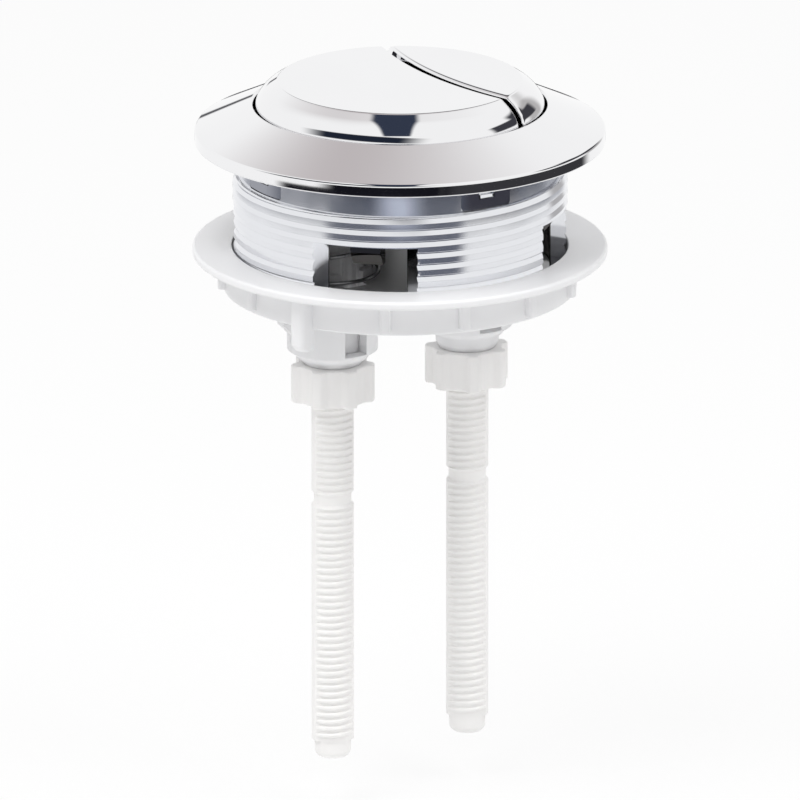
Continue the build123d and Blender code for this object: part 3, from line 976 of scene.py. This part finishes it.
def lock_nut(side):
    node = f"{side}_lock_nut"
    low, high = span(node)
    centre_x = middle_x(f"{side}_rod")
    lobe_r = max((high.x - low.x) / 2, (high.y - low.y) / 2) + LOBE_CROWN
    count = LOBE_COUNT * 24

    def level(inset, z):
        points = []
        for step in range(count):
            angle = 360 * step / count
            off = (angle - LOBE_TURN[side] + 180 / LOBE_COUNT) % (360 / LOBE_COUNT) - 180 / LOBE_COUNT
            radius = lobe_r - LOBE_HEIGHT + LOBE_HEIGHT / (1 + (off / LOBE_FLANK) ** 6) - inset
            points.append((
                centre_x + radius * math.cos(math.radians(angle)), radius * math.sin(math.radians(angle)), z,
            ))
        return points

    def bore(z):
        turns = [2 * math.pi * step / count for step in range(count)]
        return [(centre_x + BORE_R * math.cos(turn), BORE_R * math.sin(turn), z) for turn in turns]

    levels = [bore(high.z), bore(low.z)]
    for angle in steps_between(0, math.pi / 2, 5):
        levels.append(level(NUT_EDGE * (1 - math.sin(angle)), low.z + NUT_EDGE * (1 - math.cos(angle))))
    for angle in steps_between(0, math.pi / 2, 5):
        levels.append(level(NUT_EDGE * (1 - math.cos(angle)), high.z - NUT_EDGE * (1 - math.sin(angle))))
    piece(
        f"{side}_lock_nut_body", loft(levels, ring=True), rod_plastic, side, [node], smooth=40,
    )


def return_spring(side):
    node = f"{side}_spring"
    low, high = span(node)
    centre_x = middle_x(node)
    mesh = grown(coil_spring_tree(), {
        "Radius": (high.x - low.x - WIRE) / 2, "Wire": WIRE, "Turns": SPRING_TURNS, "Dead Turns": DEAD_TURNS,
        "Low": low.z, "High": high.z, "Start": 0.0, "Material": spring_steel,
    })
    mesh.transform(Matrix.Translation((centre_x, 0, 0)))
    spring = piece(f"{side}_coil", mesh, spring_steel, "housing", [node], smooth=60)
    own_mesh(spring)


bezel_ring()
threaded_sleeve()
flange_nut()
for side, hook_turns in HOOK_TURNS.items():
    flush_button(side, middle_x(f"{side}_rod"), hook_turns)
    push_rod(side)
    lock_nut(side)
    return_spring(side)
    piece(
        f"{side}_plunger_tube", cad_copy(f"{side}_plunger"), white_plastic, side,
        [f"{side}_plunger"], smooth=30,
    )
piece(
    "guide_plate_body", cad_copy("guide_plate"), white_plastic, "housing", ["guide_plate"],
    smooth=30,
)


# Studio

def soft_span(tree, value, low, high, soft):
    """1 where a coordinate lies between two limits, falling softly to 0 across each of them."""
    off = calculate(tree, "ABSOLUTE", calculate(tree, "SUBTRACT", value, (low + high) / 2))
    half = (high - low) / 2
    return place(tree, "ShaderNodeMapRange", {
        "Value": off, 1: half - soft, 2: half + soft, 3: 1.0, 4: 0.0,
    }, interpolation_type="SMOOTHSTEP")


def stage_card(name, points, azimuth, colour, cover):
    """Panel with soft edges that shows only in reflections; cover gives its strength from its coordinates."""
    rows = len(points)
    build = bmesh.new()
    grid = [[build.verts.new(point * MM) for point in line] for line in points]
    for row in range(rows - 1):
        for column in range(len(grid[0]) - 1):
            build.faces.new((
                grid[row][column], grid[row][column + 1], grid[row + 1][column + 1], grid[row + 1][column],
            ))
    mesh = finished(build, name)
    material = bpy.data.materials.new(name)
    material.use_nodes = True
    tree = material.node_tree
    tree.nodes.clear()
    coords = place(tree, "ShaderNodeTexCoord", {}).outputs["Object"]
    axes = place(tree, "ShaderNodeSeparateXYZ", {0: coords}).outputs
    light = place(tree, "ShaderNodeEmission", {"Color": (*colour, 1)})
    clear = place(tree, "ShaderNodeBsdfTransparent", {})
    mix = place(tree, "ShaderNodeMixShader", {0: cover(tree, *axes), 1: clear, 2: light})
    place(tree, "ShaderNodeOutputMaterial", {"Surface": mix})
    mesh.materials.append(material)
    card = bpy.data.objects.new(name, mesh)
    bpy.context.collection.objects.link(card)
    card.rotation_euler.z = math.radians(VIEW_AZIMUTH - 90 + azimuth)
    card.visible_camera = False
    card.visible_diffuse = False
    card.visible_shadow = False
    card.visible_transmission = False


def far_card(name, azimuth, lift, across, colour, soft, distance=FAR_DISTANCE):
    """Patch of the surroundings: lift runs up from the horizon and over the top, across runs to each side."""
    points = []
    for up in steps_between(math.radians(lift[0] - soft[0]), math.radians(lift[1] + soft[0]), 24):
        line = []
        for side in steps_between(math.radians(across[0] - soft[1]), math.radians(across[1] + soft[1]), 24):
            line.append(distance * Vector((
                math.cos(side) * math.cos(up), math.sin(side), math.cos(side) * math.sin(up),
            )))
        points.append(line)

    def cover(tree, x, y, z):
        up = calculate(tree, "ARCTAN2", z, x)
        side = calculate(tree, "ARCSINE", calculate(tree, "DIVIDE", y, distance * MM))
        return calculate(
            tree, "MULTIPLY",
            soft_span(tree, up, math.radians(lift[0]), math.radians(lift[1]), math.radians(soft[0])),
            soft_span(tree, side, math.radians(across[0]), math.radians(across[1]), math.radians(soft[1])),
        )

    stage_card(name, points, azimuth, colour, cover)


def near_band(name, azimuth, turns, heights, colour, soft, layer=0.0):
    """Strip round the object that its upright walls mirror; a lower layer lies in front of a higher one."""
    distance = BAND_DISTANCE + layer

    def sag(turn):
        return BAND_SAG * (1 - math.cos(BAND_BOW * turn))

    points = []
    for height in steps_between(heights[0] - soft[1], heights[1] + soft[1], 4):
        line = []
        for turn in steps_between(math.radians(turns[0] - soft[0]), math.radians(turns[1] + soft[0]), 48):
            line.append(Vector((distance * math.cos(turn), distance * math.sin(turn), height - sag(turn))))
        points.append(line)

    def cover(tree, x, y, z):
        turn = calculate(tree, "ARCTAN2", y, x)
        bow = calculate(tree, "COSINE", calculate(tree, "MULTIPLY", turn, BAND_BOW))
        drop = calculate(tree, "MULTIPLY", calculate(tree, "SUBTRACT", 1.0, bow), BAND_SAG * MM)
        return calculate(
            tree, "MULTIPLY",
            soft_span(tree, turn, math.radians(turns[0]), math.radians(turns[1]), math.radians(soft[0])),
            soft_span(tree, calculate(tree, "ADD", z, drop), heights[0] * MM, heights[1] * MM, soft[1] * MM),
        )

    stage_card(name, points, azimuth, colour, cover)


def studio_world():
    """White surroundings for the eye and for reflections, and a softer fill on plain surfaces."""
    world = bpy.data.worlds.new("studio")
    world.use_nodes = True
    bpy.context.scene.world = world
    tree = world.node_tree
    tree.nodes.clear()
    path = place(tree, "ShaderNodeLightPath", {})
    seen = calculate(tree, "MAXIMUM", path.outputs["Is Camera Ray"], path.outputs["Is Glossy Ray"])
    seen = calculate(tree, "MAXIMUM", seen, path.outputs["Is Transmission Ray"])
    fill = place(tree, "ShaderNodeBackground", {"Color": (1, 1, 1, 1), "Strength": FILL_STRENGTH})
    white = place(tree, "ShaderNodeBackground", {"Color": (1, 1, 1, 1), "Strength": 1.0})
    mix = place(tree, "ShaderNodeMixShader", {0: seen, 1: fill, 2: white})
    place(tree, "ShaderNodeOutputWorld", {"Surface": mix})


def studio_floor():
    """White floor that keeps a soft shadow."""
    build = bmesh.new()
    bmesh.ops.create_grid(build, x_segments=1, y_segments=1, size=FLOOR_REACH * MM)
    bmesh.ops.translate(build, verts=build.verts, vec=(0, 0, FLOOR_Z * MM))
    mesh = finished(build, "floor")
    material = bpy.data.materials.new("floor_white")
    material.use_nodes = True
    tree = material.node_tree
    tree.nodes.clear()
    matt = place(tree, "ShaderNodeBsdfDiffuse", {"Color": (0.9, 0.9, 0.9, 1)})
    glow = place(tree, "ShaderNodeEmission", {"Color": (1, 1, 1, 1)})
    seen = place(tree, "ShaderNodeLightPath", {}).outputs["Is Camera Ray"]
    share = calculate(tree, "MULTIPLY", seen, FLOOR_GLOW)
    mix = place(tree, "ShaderNodeMixShader", {0: share, 1: matt, 2: glow})
    place(tree, "ShaderNodeOutputMaterial", {"Surface": mix})
    mesh.materials.append(material)
    floor = bpy.data.objects.new("floor", mesh)
    bpy.context.collection.objects.link(floor)
    floor.visible_glossy = False


def soft_lamp(name, azimuth, elevation, energy):
    """Large soft lamp aimed at the sleeve; azimuth 0 is at the camera."""
    turn = math.radians(VIEW_AZIMUTH - 90 + azimuth)
    up = math.radians(elevation)
    away = Vector((math.cos(up) * math.cos(turn), math.cos(up) * math.sin(turn), math.sin(up)))
    lamp = bpy.data.objects.new(name, bpy.data.lights.new(name, "AREA"))
    bpy.context.collection.objects.link(lamp)
    lamp.data.size = LAMP_SIZE * MM
    lamp.data.energy = energy
    lamp.location = away * LAMP_DISTANCE * MM
    lamp.rotation_euler = away.to_track_quat("Z", "Y").to_euler()
    lamp.visible_glossy = False


def photo_camera():
    """Far camera with a long lens, which the photograph's nearly parallel lines ask for."""
    up = math.radians(VIEW_ELEVATION)
    turn = math.radians(VIEW_AZIMUTH)
    back = Vector((math.sin(turn) * math.cos(up), -math.cos(turn) * math.cos(up), math.sin(up)))
    drop = (PICTURE_SIZE / 2 - SEAT_CENTRE_ROW) / (PIXELS_PER_MM * math.cos(up))
    camera = bpy.data.objects.new("camera", bpy.data.cameras.new("camera"))
    bpy.context.collection.objects.link(camera)
    camera.location = (Vector((0, 0, -drop)) + CAMERA_DISTANCE * back) * MM
    camera.rotation_euler = back.to_track_quat("Z", "Y").to_euler()
    camera.data.sensor_width = SENSOR_WIDTH
    camera.data.lens = SENSOR_WIDTH * CAMERA_DISTANCE * PIXELS_PER_MM / PICTURE_SIZE
    camera.data.clip_end = CAMERA_CLIP * MM
    bpy.context.scene.camera = camera


studio_world()
studio_floor()

# What the bezel's slope and the buttons' bevel mirror
far_card("grey_ceiling", -160, (44, 82), (-20, 20), (0.57, 0.53, 0.535), (19, 19))
far_card("dark_streak", -172, (1.6, 4.2), (-1, 8), (0.1, 0.1, 0.11), (0.8, 1.5))
far_card("dark_back", 180, (25, 55), (-10, 10), (0.03, 0.03, 0.04), (4, 4))
far_card("dark_figure", 0, (43, 104), (-11, 7), (0.035, 0.045, 0.075), (2, 1.5), FAR_DISTANCE - 50)
far_card("grey_side", 138, (-6, 30), (-16, 9), (0.5, 0.49, 0.49), (5, 5), FAR_DISTANCE + 20)
far_card("dark_low_front", -24, (14.5, 32.5), (-36, 32), (0.015, 0.02, 0.035), (1.5, 11), NEAR_DISTANCE)
far_card("dark_side", 95, (11, 27), (-27, 24), (0.05, 0.05, 0.06), (1.5, 3), NEAR_DISTANCE)
far_card("dark_side_top", 100, (24, 34), (-9, 9), (0.05, 0.05, 0.06), (3, 3), NEAR_DISTANCE + 1)

# What the upright walls of the rim, the neck and the thread mirror
near_band("rim_black", 0, (-38, 24), RIM_BAND, (0.008, 0.008, 0.012), (6, 0.4), -3.0)
near_band("rim_line", 0, (-63, -31), (-34.6, -31.4), (0.01, 0.01, 0.014), (5, 0.4), -3.0)
near_band("rim_dark", 0, (17, 117), (-35.6, -19.0), (0.04, 0.04, 0.045), (6, 0.4), -2.0)
near_band("neck_glow", 0, (-10.5, 10.5), NECK_BAND, (0.78, 0.83, 0.97), (11, 0.5), -1.0)
near_band("tongue_shade", 0, (42, 84), NECK_BAND, (0.045, 0.045, 0.06), (7, 0.5), 0.5)
near_band("neck_shade", 0, (-92, 116), NECK_BAND, (0.1, 0.112, 0.147), (14, 0.5), 1.0)
near_band("neck_pale", 0, (-140, 142), NECK_BAND, (0.36, 0.37, 0.41), (12, 0.5), 2.0)
near_band("thread_shade", 0, (-47, 40), (-64.0, -42.8), (0.13, 0.14, 0.18), (5, 0.5))
near_band("rim_behind", 180, (-16, 16), RIM_BAND, (0.02, 0.02, 0.025), (6, 0.4))
near_band("neck_behind", 180, (-16, 16), (-64.0, -36.2), (0.13, 0.14, 0.18), (6, 0.5))

soft_lamp("key_light", -48, 58, 5.0)
soft_lamp("fill_light", 62, 52, 3.4)
photo_camera()
bpy.context.scene.view_settings.view_transform = "Standard"
